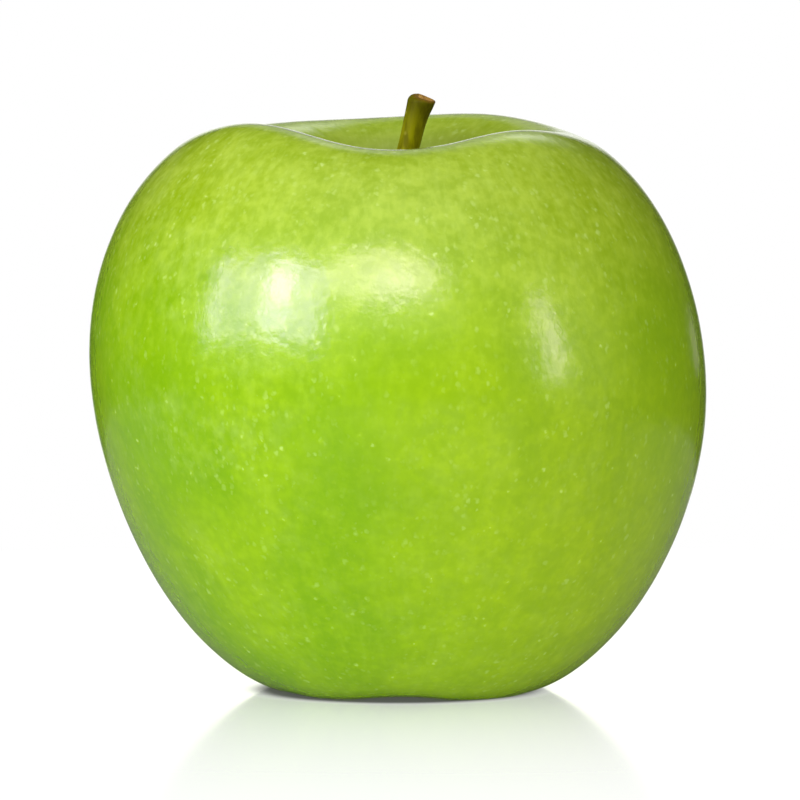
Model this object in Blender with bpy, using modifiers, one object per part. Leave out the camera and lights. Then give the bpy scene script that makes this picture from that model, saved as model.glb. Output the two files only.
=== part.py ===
"""A green apple, as picked: the fruit, its woody stem and the dried calyx in its base.

Metres, +Z up. The apple stands on the low lobes of its base at Z = 0, and the origin is under its
middle. +X is the fruit's right and -Y its front.
"""

import math
import random

import bmesh
import bpy
import numpy as np
from mathutils import Matrix, Vector

# The fruit's half outline, as (radius, height): from the lip of the stem's hole up the cavity's wall, over
# the crest of the shoulder, down past the widest place, and under the base into the calyx basin.
OUTLINE = [
    (0.0018, 0.0606),
    (0.0045, 0.0615),
    (0.0120, 0.0690),
    (0.0219, 0.0736),
    (0.0298, 0.0693),
    (0.0368, 0.0586),
    (0.04005, 0.0421),
    (0.0368, 0.0238),
    (0.0285, 0.0085),
    (0.0196, 0.0011),
    (0.0136, -0.0004),
    (0.0096, 0.0011),
    (0.0060, 0.0042),
    (0.0034, 0.0070),
]
OUTLINE_STEPS = 50
ROUND_STEPS = 64

# The hole that the stem grows out of, and the one that holds the calyx. The pieces stand this far apart.
GAP = 0.0003
STEM_HOLE_DEPTH = 0.0030
CALYX_HOLE_RADIUS = 0.0021
CALYX_HOLE_DEPTH = 0.0030
CALYX_MOUTH = OUTLINE[-1][1] + GAP

# The fruit leans to its left as it rises, most of it about the widest place
LEAN = -0.00115
LEAN_CENTRE = 0.0425
LEAN_SPAN = 0.0205

# Rise and fall of the shoulder's crest round the fruit: (waves round, rise, angle of the first peak)
CREST_RADIUS = 0.0194
CREST_SPREAD = 0.0095
CREST_FADE = (0.045, 0.068)
CREST_WAVES = [
    (1, 0.00020, math.radians(111)),
    (2, 0.00045, math.radians(39)),
    (3, 0.00070, math.radians(-35)),
    (4, 0.00053, math.radians(45)),
]

# Five lobes round the base. The fruit stands on them, and the gaps between them are higher.
LOBES = 5
LOBE_TURN = math.radians(90)
LOBE_RADIUS = 0.0136
LOBE_SPREAD = 0.0080
LOBE_FADE = (0.004, 0.025)
LOBE_GAP_RISE = 0.0005

# The base is also a little lower at its sides than at its front and back: (waves, rise, first peak)
BASE_WAVE = (2, 0.00040, math.radians(81))

# The foot of the fruit stands behind its middle. The shift comes in between these radii, outside the
# basin, and fades out between these heights.
FOOT_BACK = 0.0055
FOOT_REACH = (0.004, 0.014)
FOOT_FADE = (0.0, 0.044)

# Faint ribs run up the cheek from the lobes
RIB_SHARE = 0.011
RIB_FADE = (0.008, 0.052)

# Stem: points along its middle, and its radius at each
STEM_ROUTE = [
    (-0.00075, 0.0, 0.0580),
    (-0.00075, 0.0, 0.0612),
    (-0.00050, 0.0, 0.0635),
    (0.00035, 0.0, 0.0675),
    (0.00143, 0.0, 0.0712),
    (0.00238, 0.0, 0.0750),
    (0.00295, 0.0, 0.0768),
    (0.00345, 0.0, 0.0786),
]
STEM_RADII = [0.00142, 0.00142, 0.00140, 0.00140, 0.00144, 0.00157, 0.00180, 0.00205]
STEM_STEPS = 26
STEM_SIDES_RESOLUTION = 3
STEM_CUT_POINT = (0.0031, 0.0, 0.0777)
STEM_CUT_FACING = (0.34, -0.16, 1.0)

# Calyx: dried sepals and stamens on a plug that fills the basin's hole
PLUG_SIDES = 20
PLUG_RIM = 0.0004
SEPALS = 5
SEPAL_TURN = math.radians(54)
SEPAL_WIDTH = 0.0026
SEPAL_THICKNESS = 0.0006
SEPAL_ROWS = 9
SEPAL_COLUMNS = 3
SEPAL_ROUTE = [(0.0008, -0.0004), (0.0016, 0.0006), (0.0022, 0.0020), (0.0031, 0.0031), (0.0044, 0.0036)]
SEPAL_TIP_SHARE = 0.16
SEPAL_CUP = 0.0004
SEPAL_UNEVEN = 0.12
STAMENS = 9
STAMEN_RING = 0.0006
STAMEN_RADIUS = 0.00034
STAMEN_TIP_RADIUS = 0.00020
STAMEN_LENGTHS = (0.0019, 0.0026)
STAMEN_LEANS = (math.radians(3), math.radians(16))
STAMEN_SCATTER = 0.2
STAMEN_SIDES = 5
CALYX_SEED = 7

SMOOTH_ANGLE = math.radians(40)
MERGE = 0.00001


def clear_scene():
    """Takes out whatever the file opened with."""
    for obj in list(bpy.data.objects):
        bpy.data.objects.remove(obj)


def new_material(name, colour, roughness):
    """A plain finish of one colour."""
    material = bpy.data.materials.new(name)
    material.use_nodes = True
    shader = material.node_tree.nodes["Principled BSDF"]
    shader.inputs["Base Color"].default_value = (*colour, 1.0)
    shader.inputs["Roughness"].default_value = roughness
    shader.inputs["Metallic"].default_value = 0.0
    return material


def smooth_line(stations, count):
    """count points on the natural cubic spline through the stations."""
    knots = np.array(stations, float)
    gaps = np.sqrt(np.linalg.norm(np.diff(knots, axis=0), axis=1))
    along = np.concatenate([[0.0], np.cumsum(gaps)])
    size = len(knots)
    matrix = np.eye(size)
    bend = np.zeros_like(knots)
    for i in range(1, size - 1):
        before, after = gaps[i - 1], gaps[i]
        matrix[i, i - 1 : i + 2] = before, 2 * (before + after), after
        bend[i] = 6 * ((knots[i + 1] - knots[i]) / after - (knots[i] - knots[i - 1]) / before)
    curvature = np.linalg.solve(matrix, bend)
    points = []
    for place in np.linspace(0.0, along[-1], count):
        i = min(int(np.searchsorted(along, place, side="right")) - 1, size - 2)
        gap = gaps[i]
        back, on = along[i + 1] - place, place - along[i]
        points.append(
            (curvature[i] * back**3 + curvature[i + 1] * on**3) / (6 * gap)
            + (knots[i] / gap - curvature[i] * gap / 6) * back
            + (knots[i + 1] / gap - curvature[i + 1] * gap / 6) * on
        )
    return points


def eased(value, low, high):
    """0 below low, 1 above high and a smooth rise between them."""
    share = min(max((value - low) / (high - low), 0.0), 1.0)
    return share * share * (3 - 2 * share)


def lean_at(height):
    """How far the fruit's axis stands to the right at this height."""
    return LEAN * math.tanh((height - LEAN_CENTRE) / LEAN_SPAN)


def hump(radius, centre, spread):
    """A smooth hump over the radius, 1 at its centre."""
    return math.exp(-(((radius - centre) / spread) ** 2))


def wave(angle, waves, rise, peak):
    """The height at this angle of a wave that runs round the fruit."""
    return rise * math.cos(waves * (angle - peak))


def grown(point):
    """Where a point of the evenly turned form lies on the real, slightly uneven fruit."""
    radius = math.hypot(point.x, point.y)
    angle = math.atan2(point.y, point.x)
    lobe = math.cos(LOBES * (angle - LOBE_TURN))
    crest = hump(radius, CREST_RADIUS, CREST_SPREAD) * eased(point.z, *CREST_FADE)
    base = hump(radius, LOBE_RADIUS, LOBE_SPREAD) * (1 - eased(point.z, *LOBE_FADE))
    rib = RIB_SHARE * lobe * (1 - eased(point.z, *RIB_FADE))
    height = point.z + base * LOBE_GAP_RISE * (1 - lobe) / 2 + base * wave(angle, *BASE_WAVE)
    height += crest * sum(wave(angle, *parts) for parts in CREST_WAVES)
    height = max(height, 0.0)
    back = FOOT_BACK * eased(radius, *FOOT_REACH) * (1 - eased(height, *FOOT_FADE))
    radius *= 1 + rib
    return Vector((radius * math.cos(angle) + lean_at(height), radius * math.sin(angle) + back, height))


def object_from(name, mesh, collection):
    """A new object in the collection."""
    obj = bpy.data.objects.new(name, mesh)
    collection.objects.link(obj)
    return obj


def applied(obj, collection):
    """The object as its modifiers leave it: a mesh object with none, and the old one removed."""
    graph = bpy.context.evaluated_depsgraph_get()
    graph.update()
    mesh = bpy.data.meshes.new_from_object(obj.evaluated_get(graph))
    name = obj.name
    place = obj.matrix_world.copy()
    bpy.data.objects.remove(obj)
    made = object_from(name, mesh, collection)
    made.name = name
    made.matrix_world = place
    return made


def shade(obj, material):
    """Gives the object its material and smooth shading with crisp corners."""
    obj.data.materials.clear()
    obj.data.materials.append(material)
    obj.data.shade_smooth()
    obj.data.set_sharp_from_angle(angle=SMOOTH_ANGLE)


def fruit_profile():
    """The fruit's half outline as a line of points in the XZ plane, from pole to pole."""
    line = [tuple(point) for point in smooth_line(OUTLINE, OUTLINE_STEPS)]
    lip_radius, lip_height = line[0]
    stem_floor = lip_height - STEM_HOLE_DEPTH
    calyx_roof = CALYX_MOUTH + CALYX_HOLE_DEPTH
    top = [(0.0, stem_floor), (lip_radius, stem_floor)]
    bottom = [(CALYX_HOLE_RADIUS, CALYX_MOUTH), (CALYX_HOLE_RADIUS, calyx_roof), (0.0, calyx_roof)]
    return top + line + bottom


def make_fruit(collection, material):
    """The fruit: one solid, turned from its half outline, then grown uneven."""
    profile = fruit_profile()
    mesh = bpy.data.meshes.new("fruit")
    mesh.from_pydata([(x, 0.0, z) for x, z in profile], [(i, i + 1) for i in range(len(profile) - 1)], [])
    turned = object_from("fruit", mesh, collection)
    screw = turned.modifiers.new("turn", "SCREW")
    screw.axis = "Z"
    screw.steps = ROUND_STEPS
    screw.render_steps = ROUND_STEPS
    screw.use_merge_vertices = True
    screw.merge_threshold = MERGE
    fruit = applied(turned, collection)
    for vertex in fruit.data.vertices:
        vertex.co = grown(vertex.co)
    shade(fruit, material)
    return fruit


def make_stem(collection, material):
    """The stem: a bent stalk that thickens to a flared end, cut off aslant."""
    foot = Vector(STEM_ROUTE[0])
    stations = [(*(Vector(p) - foot), r) for p, r in zip(STEM_ROUTE, STEM_RADII)]
    line = smooth_line(stations, STEM_STEPS)
    curve = bpy.data.curves.new("stem", "CURVE")
    curve.dimensions = "3D"
    curve.bevel_depth = 1.0
    curve.bevel_resolution = STEM_SIDES_RESOLUTION
    curve.use_fill_caps = True
    spline = curve.splines.new("POLY")
    spline.points.add(len(line) - 1)
    for spot, (x, y, z, radius) in zip(spline.points, line):
        spot.co = (x, y, z, 1.0)
        spot.radius = radius
    stem = applied(object_from("stem", curve, collection), collection)
    body = bmesh.new()
    body.from_mesh(stem.data)
    bmesh.ops.remove_doubles(body, verts=body.verts, dist=MERGE)
    cut = bmesh.ops.bisect_plane(
        body,
        geom=body.verts[:] + body.edges[:] + body.faces[:],
        plane_co=Vector(STEM_CUT_POINT) - foot,
        plane_no=Vector(STEM_CUT_FACING),
        clear_outer=True,
    )
    edges = [part for part in cut["geom_cut"] if isinstance(part, bmesh.types.BMEdge)]
    bmesh.ops.edgeloop_fill(body, edges=edges)
    bmesh.ops.recalc_face_normals(body, faces=body.faces)
    body.to_mesh(stem.data)
    body.free()
    stem.location = foot
    shade(stem, material)
    return stem


def make_sepal(angle, size, collection):
    """One dried sepal: a narrow pointed leaf that hangs out of the plug and curls outwards."""
    mesh = bpy.data.meshes.new("sepal")
    body = bmesh.new()
    bmesh.ops.create_grid(body, x_segments=SEPAL_COLUMNS - 1, y_segments=SEPAL_ROWS - 1, size=0.5)
    route = smooth_line(SEPAL_ROUTE, SEPAL_ROWS)
    for vertex in body.verts:
        side = 2 * vertex.co.x
        row = round((vertex.co.y + 0.5) * (SEPAL_ROWS - 1))
        share = row / (SEPAL_ROWS - 1)
        out, down = route[row]
        width = SEPAL_WIDTH * (SEPAL_TIP_SHARE + (1 - SEPAL_TIP_SHARE) * math.cos(share * math.pi / 2))
        vertex.co = (size * out - SEPAL_CUP * side * side * (1 - share), side * width / 2, -down)
    bmesh.ops.recalc_face_normals(body, faces=body.faces)
    bmesh.ops.rotate(body, verts=body.verts, matrix=Matrix.Rotation(angle, 3, "Z"))
    body.to_mesh(mesh)
    body.free()
    sepal = object_from("sepal", mesh, collection)
    wall = sepal.modifiers.new("wall", "SOLIDIFY")
    wall.thickness = SEPAL_THICKNESS
    wall.offset = 0.0
    return applied(sepal, collection)


def make_cone(name, radii, length, sides, place, collection):
    """A closed cone, or a cylinder, from its base at place to its tip along place's Z."""
    mesh = bpy.data.meshes.new(name)
    body = bmesh.new()
    bmesh.ops.create_cone(
        body,
        cap_ends=True,
        segments=sides,
        radius1=radii[0],
        radius2=radii[1],
        depth=length,
        matrix=place @ Matrix.Translation((0, 0, length / 2)),
    )
    body.to_mesh(mesh)
    body.free()
    return object_from(name, mesh, collection)


def make_calyx(collection, pieces, material):
    """The calyx: five sepals round a tuft of dry stamens, all grown from one plug."""
    radius = CALYX_HOLE_RADIUS - GAP
    height = CALYX_HOLE_DEPTH - GAP + PLUG_RIM
    foot = Matrix.Translation((0, 0, -PLUG_RIM))
    plug = make_cone("calyx", (radius, radius), height, PLUG_SIDES, foot, collection)
    down = Matrix.Rotation(math.pi, 4, "X")
    draw = random.Random(CALYX_SEED)
    for i in range(SEPALS):
        angle = SEPAL_TURN + math.tau * i / SEPALS + draw.uniform(-SEPAL_UNEVEN, SEPAL_UNEVEN)
        make_sepal(angle, 1 + draw.uniform(-SEPAL_UNEVEN, SEPAL_UNEVEN), pieces)
    for i in range(STAMENS):
        angle = math.tau * i / STAMENS + draw.uniform(-STAMEN_SCATTER, STAMEN_SCATTER)
        turn = Matrix.Rotation(angle, 4, "Z") @ Matrix.Translation((STAMEN_RING, 0, 0))
        tilt = Matrix.Rotation(-draw.uniform(*STAMEN_LEANS), 4, "Y")
        length = draw.uniform(*STAMEN_LENGTHS)
        radii = (STAMEN_RADIUS, STAMEN_TIP_RADIUS)
        make_cone("stamen", radii, length, STAMEN_SIDES, turn @ down @ tilt, pieces)
    join = plug.modifiers.new("join", "BOOLEAN")
    join.operation = "UNION"
    join.operand_type = "COLLECTION"
    join.collection = pieces
    join.solver = "EXACT"
    calyx = applied(plug, collection)
    for piece in list(pieces.objects):
        bpy.data.objects.remove(piece)
    calyx.location = (lean_at(CALYX_MOUTH), 0.0, CALYX_MOUTH)
    shade(calyx, material)
    return calyx


def main():
    """Builds the three pieces and hangs them from one empty."""
    clear_scene()
    parts = bpy.data.collections.new("green_apple")
    pieces = bpy.data.collections.new("calyx_pieces")
    bpy.context.scene.collection.children.link(parts)
    bpy.context.scene.collection.children.link(pieces)
    skin = new_material("skin", (0.30, 0.55, 0.02), 0.25)
    bark = new_material("bark", (0.16, 0.15, 0.02), 0.55)
    husk = new_material("husk", (0.13, 0.075, 0.035), 0.85)
    whole = object_from("green_apple", None, parts)
    for part in (make_fruit(parts, skin), make_stem(parts, bark), make_calyx(parts, pieces, husk)):
        part.parent = whole
    bpy.data.collections.remove(pieces)


main()
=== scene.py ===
"""The looks of the green apple: the finely grown fruit, its woody stem and its dried calyx.

Metres, +Z up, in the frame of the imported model. The camera stands on the -Y side, where the photograph was
taken from.
"""

import logging
import math
import random
from dataclasses import dataclass
from enum import Enum
from typing import Sequence, Union

import bmesh
import bpy
import numpy as np
from bpy.types import ID, Material, Mesh, Node, NodeSocket, NodeTree, Object
from mathutils import Matrix, Vector


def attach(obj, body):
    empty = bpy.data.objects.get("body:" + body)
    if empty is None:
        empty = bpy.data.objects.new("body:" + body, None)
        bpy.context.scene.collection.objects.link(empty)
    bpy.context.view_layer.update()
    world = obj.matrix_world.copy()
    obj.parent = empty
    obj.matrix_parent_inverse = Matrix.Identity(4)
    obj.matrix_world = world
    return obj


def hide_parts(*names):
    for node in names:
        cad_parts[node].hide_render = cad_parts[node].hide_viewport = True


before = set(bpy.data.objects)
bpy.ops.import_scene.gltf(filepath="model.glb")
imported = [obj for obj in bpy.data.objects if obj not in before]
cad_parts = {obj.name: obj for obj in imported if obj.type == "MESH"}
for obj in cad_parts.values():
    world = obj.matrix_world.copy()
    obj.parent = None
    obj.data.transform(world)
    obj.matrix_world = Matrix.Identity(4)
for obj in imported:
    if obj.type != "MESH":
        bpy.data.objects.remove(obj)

LOG = logging.getLogger("green_apple")
BODY = "root"
WAY_DOWN = "way_down"
WHITE = (1.0, 1.0, 1.0, 1.0)
SEAM = 1e-6
GOLDEN_TURN = 0.382
STRAND_RADIUS = 0.036
# The numbers of the colour mixing node's two colour inputs and of its colour output.
MIX_FIRST, MIX_SECOND, MIX_RESULT = 6, 7, 2

Point = tuple[float, float, float]
Colour = tuple[float, float, float]
Pattern = tuple[float, float, float]
Span = tuple[float, float]
Glow = tuple[float, float, float, float]
Value = Union[float, int, bool, Sequence[float], "Term"]
Inputs = dict[Union[str, int], Value]


class Slot(Enum):
    """The record's material slots."""

    SKIN = "skin"
    BARK = "bark"
    HUSK = "husk"


class Kind(Enum):
    """The two kinds of node tree that the apple is made with."""

    SHAPE = "GeometryNodeTree"
    SHADE = "ShaderNodeTree"


class Socket(Enum):
    """What a named input or output of a tree carries."""

    NUMBER = "NodeSocketFloat"
    WHOLE = "NodeSocketInt"
    VECTOR = "NodeSocketVector"
    SHAPE = "NodeSocketGeometry"
    FINISH = "NodeSocketMaterial"


class Term:
    """A value that nodes work out. Terms are added, subtracted, multiplied and divided like numbers."""

    def __init__(self, sheet: "Sheet", socket: NodeSocket) -> None:
        """Keeps the sheet that the term is written on and the socket that puts it out."""
        self.sheet = sheet
        self.socket = socket

    def __add__(self, other: Value) -> "Term":
        """This plus the other."""
        return self.sheet.math("ADD", self, other)

    def __radd__(self, other: Value) -> "Term":
        """The other plus this."""
        return self.sheet.math("ADD", other, self)

    def __sub__(self, other: Value) -> "Term":
        """This less the other."""
        return self.sheet.math("SUBTRACT", self, other)

    def __rsub__(self, other: Value) -> "Term":
        """The other less this."""
        return self.sheet.math("SUBTRACT", other, self)

    def __mul__(self, other: Value) -> "Term":
        """This times the other."""
        return self.sheet.math("MULTIPLY", self, other)

    def __rmul__(self, other: Value) -> "Term":
        """The other times this."""
        return self.sheet.math("MULTIPLY", other, self)

    def __truediv__(self, other: Value) -> "Term":
        """This divided by the other."""
        return self.sheet.math("DIVIDE", self, other)

    def cosine(self) -> "Term":
        """The cosine of this angle."""
        return self.sheet.math("COSINE", self)

    def sine(self) -> "Term":
        """The sine of this angle."""
        return self.sheet.math("SINE", self)

    def hump(self, centre: Value, spread: Value) -> "Term":
        """A smooth hump over this value, 1 at its centre."""
        away = (self - centre) / spread
        return self.sheet.math("EXPONENT", -1.0 * away * away)

    def stretched(self, share: float) -> "Term":
        """The place with its height cut to this share, so that what is marked by it is as much taller."""
        x, y, z = self.sheet.split(self)
        return self.sheet.join(x, y, z * share)

    def at_least(self, low: float) -> "Term":
        """This, or low where this is lower."""
        return self.sheet.math("MAXIMUM", self, low)

    def eased(self, low: Value, high: Value) -> "Term":
        """0 below low, 1 above high and a smooth rise between them."""
        span = {"Value": self, "From Min": low, "From Max": high}
        return self.sheet.term("ShaderNodeMapRange", span, interpolation_type="SMOOTHSTEP")


class Sheet:
    """A node tree that is being written, with named inputs and outputs."""

    def __init__(self, tree: NodeTree) -> None:
        """Starts on a tree, which may be new, a group or a material's own."""
        self.tree = tree
        self.entry: Node | None = None
        self.exit: Node | None = None

    @classmethod
    def group(cls, name: str, kind: Kind) -> "Sheet":
        """Starts a new node group.

        Args:
            name: the group's name.
            kind: whether it makes a shape or shades one.

        Returns:
            The sheet, with its group input and output nodes in place.
        """
        sheet = cls(bpy.data.node_groups.new(name, kind.value))
        sheet.entry = sheet.tree.nodes.new("NodeGroupInput")
        sheet.exit = sheet.tree.nodes.new("NodeGroupOutput")
        return sheet

    def take(self, name: str, default: Value | None = None, kind: Socket = Socket.NUMBER) -> Term:
        """Adds a named input to the group.

        Args:
            name: the input's name.
            default: its value where nothing sets it.
            kind: what it carries.

        Returns:
            The term that the input gives inside the group.
        """
        item = self.tree.interface.new_socket(name=name, in_out="INPUT", socket_type=kind.value)
        if default is not None:
            item.default_value = default
        return Term(self, self.entry.outputs[name])

    def give(self, name: str, value: Term, kind: Socket = Socket.NUMBER) -> None:
        """Adds a named output to the group and links the term to it."""
        self.tree.interface.new_socket(name=name, in_out="OUTPUT", socket_type=kind.value)
        self.tree.links.new(value.socket, self.exit.inputs[name])

    def fill(self, node: Node, inputs: Inputs) -> None:
        """Links terms to the node's inputs or sets them to plain values, by name or number."""
        for place, value in inputs.items():
            if isinstance(value, Term):
                self.tree.links.new(value.socket, node.inputs[place])
            else:
                node.inputs[place].default_value = value

    def add(self, kind: str, inputs: Inputs | None = None, **settings: object) -> Node:
        """Adds a node.

        Args:
            kind: the node's type.
            inputs: a value or term for each input that isn't left as it is, by name or number.
            settings: the node's own properties.

        Returns:
            The new node.
        """
        node = self.tree.nodes.new(kind)
        for name, setting in settings.items():
            setattr(node, name, setting)
        self.fill(node, inputs or {})
        return node

    def out(self, node: Node, place: str | int = 0) -> Term:
        """The term that a node puts out, by the output's name or number."""
        return Term(self, node.outputs[place])

    def term(self, kind: str, inputs: Inputs | None = None, place: str | int = 0, **settings: object) -> Term:
        """Adds a node, as add does, and gives the term that it puts out at the place."""
        return self.out(self.add(kind, inputs, **settings), place)

    def after(self, shape: Term, step: str, inputs: Inputs | None = None, **settings: object) -> Term:
        """The shape after one more geometry node, with the node's other inputs and properties."""
        return self.term("GeometryNode" + step, {"Geometry": shape, **(inputs or {})}, **settings)

    def sample(self, shape: Term, value: Term, index: Term, kind: str) -> Term:
        """What the value is at the point of another shape that has this index."""
        return self.after(shape, "SampleIndex", {"Value": value, "Index": index}, data_type=kind)

    def math(self, operation: str, *values: Value) -> Term:
        """A term worked out from others by one sum."""
        return self.term("ShaderNodeMath", dict(enumerate(values)), operation=operation)

    def join(self, x: Value, y: Value, z: Value) -> Term:
        """A vector of three terms."""
        return self.term("ShaderNodeCombineXYZ", {"X": x, "Y": y, "Z": z})

    def split(self, vector: Term) -> tuple[Term, Term, Term]:
        """The three terms of a vector."""
        node = self.add("ShaderNodeSeparateXYZ", {0: vector})
        return self.out(node, "X"), self.out(node, "Y"), self.out(node, "Z")

    def scaled(self, vector: Term, share: Value) -> Term:
        """The vector made longer or shorter."""
        return self.term("ShaderNodeVectorMath", {0: vector, "Scale": share}, operation="SCALE")

    def here(self) -> Term:
        """The place on the object."""
        return self.term("ShaderNodeTexCoord", place="Object")

    def attribute(self, name: str) -> Term:
        """The number that the mesh carries under this name."""
        return self.term("ShaderNodeAttribute", place="Fac", attribute_name=name)

    def use(self, group: NodeTree, inputs: Inputs) -> Node:
        """Places a shader group on the sheet with these inputs."""
        return self.add("ShaderNodeGroup", inputs, node_tree=group)

    def noise(self, place: Term, scale: Value, detail: float = 2.0) -> Term:
        """A cloudy value from 0 to 1 that changes over the place."""
        return self.term("ShaderNodeTexNoise", {"Vector": place, "Scale": scale, "Detail": detail})

    def mix(self, share: Value, first: Term | Colour, second: Term | Colour) -> Term:
        """A colour between the first, where the share is 0, and the second, where it is 1."""
        ends = [colour if isinstance(colour, Term) else (*colour, 1.0) for colour in (first, second)]
        inputs = {0: share, MIX_FIRST: ends[0], MIX_SECOND: ends[1]}
        return self.term("ShaderNodeMix", inputs, MIX_RESULT, data_type="RGBA")

    def layered(self, colour: Term, *layers: tuple[Value, Term | Colour]) -> Term:
        """The colour with the layers over it in turn, each given as its share and its own colour."""
        for share, layer in layers:
            colour = self.mix(share, colour, layer)
        return colour

    def bump(self, height: Term, strength: float, distance: float) -> Term:
        """The facing of a surface that looks raised by the height."""
        return self.term("ShaderNodeBump", {"Height": height, "Strength": strength, "Distance": distance}, "Normal")


def smooth_line(stations: Sequence[Sequence[float]], count: int) -> np.ndarray:
    """Points on the natural cubic spline through the stations.

    Args:
        stations: the points that the line goes through, of any dimension.
        count: how many points to put out.

    Returns:
        The points, one a row.
    """
    knots = np.array(stations, float)
    gaps = np.sqrt(np.linalg.norm(np.diff(knots, axis=0), axis=1))
    along = np.concatenate([[0.0], np.cumsum(gaps)])
    size = len(knots)
    matrix = np.eye(size)
    bend = np.zeros_like(knots)
    for i in range(1, size - 1):
        before, after = gaps[i - 1], gaps[i]
        matrix[i, i - 1 : i + 2] = before, 2 * (before + after), after
        bend[i] = 6 * ((knots[i + 1] - knots[i]) / after - (knots[i] - knots[i - 1]) / before)
    curvature = np.linalg.solve(matrix, bend)
    place = np.linspace(0.0, along[-1], count)
    left = np.clip(np.searchsorted(along, place, side="right") - 1, 0, size - 2)
    gap = gaps[left][:, None]
    back = (along[left + 1] - place)[:, None]
    on = (place - along[left])[:, None]
    return (
        (curvature[left] * back**3 + curvature[left + 1] * on**3) / (6 * gap)
        + (knots[left] / gap - curvature[left] * gap / 6) * back
        + (knots[left + 1] / gap - curvature[left + 1] * gap / 6) * on
    )


def placed(name: str, data: ID) -> Object:
    """A new object of this data, in the scene."""
    made = bpy.data.objects.new(name, data)
    bpy.context.scene.collection.objects.link(made)
    return made


def aimed(made: Object, target: Vector, azimuth: float, elevation: float, distance: float) -> None:
    """Sets a light or camera at this distance from the target, at angles in degrees, and turns it to face it."""
    turn, rise = math.radians(azimuth), math.radians(elevation)
    way = Vector((math.sin(turn) * math.cos(rise), -math.cos(turn) * math.cos(rise), math.sin(rise)))
    made.location = target + way * distance
    made.rotation_mode = "QUATERNION"
    made.rotation_quaternion = way.to_track_quat("Z", "Y")


def evaluated(piece: Object) -> Mesh:
    """The piece's mesh with its modifiers applied."""
    graph = bpy.context.evaluated_depsgraph_get()
    graph.update()
    return bpy.data.meshes.new_from_object(piece.evaluated_get(graph))


def mesh_of(name: str, body: bmesh.types.BMesh) -> Mesh:
    """The body as a mesh. The body is freed."""
    mesh = bpy.data.meshes.new(name)
    body.to_mesh(mesh)
    body.free()
    return mesh


def line_object(name: str, points: Sequence[Point]) -> Object:
    """A mesh object of one line through the points, for a shape tree to work from."""
    mesh = bpy.data.meshes.new(name)
    mesh.from_pydata([tuple(p) for p in points], [(i, i + 1) for i in range(len(points) - 1)], [])
    return placed(name, mesh)


def grown(name: str, seed: Object, tree: NodeTree, inputs: dict[str, Value]) -> Object:
    """Runs a shape tree on an object and keeps the result as a plain mesh.

    Args:
        name: the new piece's name.
        seed: the object that the tree works from, which is removed.
        tree: the shape tree.
        inputs: the tree's named inputs.

    Returns:
        The new piece, a mesh with no modifier.
    """
    places = {item.name: item.identifier for item in tree.interface.items_tree if item.in_out == "INPUT"}
    modifier = seed.modifiers.new("grown", "NODES")
    modifier.node_group = tree
    for label, value in inputs.items():
        modifier[places[label]] = value
    mesh = evaluated(seed)
    bpy.data.objects.remove(seed)
    mesh.name = name
    return placed(name, mesh)


def face_outwards(piece: Object, merge: float = SEAM) -> None:
    """Closes the seams and poles of a closed mesh and turns its faces outwards."""
    body = bmesh.new()
    body.from_mesh(piece.data)
    bmesh.ops.remove_doubles(body, verts=body.verts, dist=merge)
    bmesh.ops.recalc_face_normals(body, faces=body.faces)
    body.to_mesh(piece.data)
    body.free()
    piece.data.shade_smooth()


def dress(piece: Object, node: str, finish: Material | None = None) -> None:
    """Hangs a finished piece on the frame.

    Args:
        piece: the piece, in place.
        node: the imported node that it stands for.
        finish: its material, where its own tree hasn't set it.
    """
    if finish is not None:
        piece.data.materials.clear()
        piece.data.materials.append(finish)
    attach(piece, BODY)
    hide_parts(node)
    LOG.info("%s: %d faces, stands for %s", piece.name, len(piece.data.polygons), node)


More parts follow.
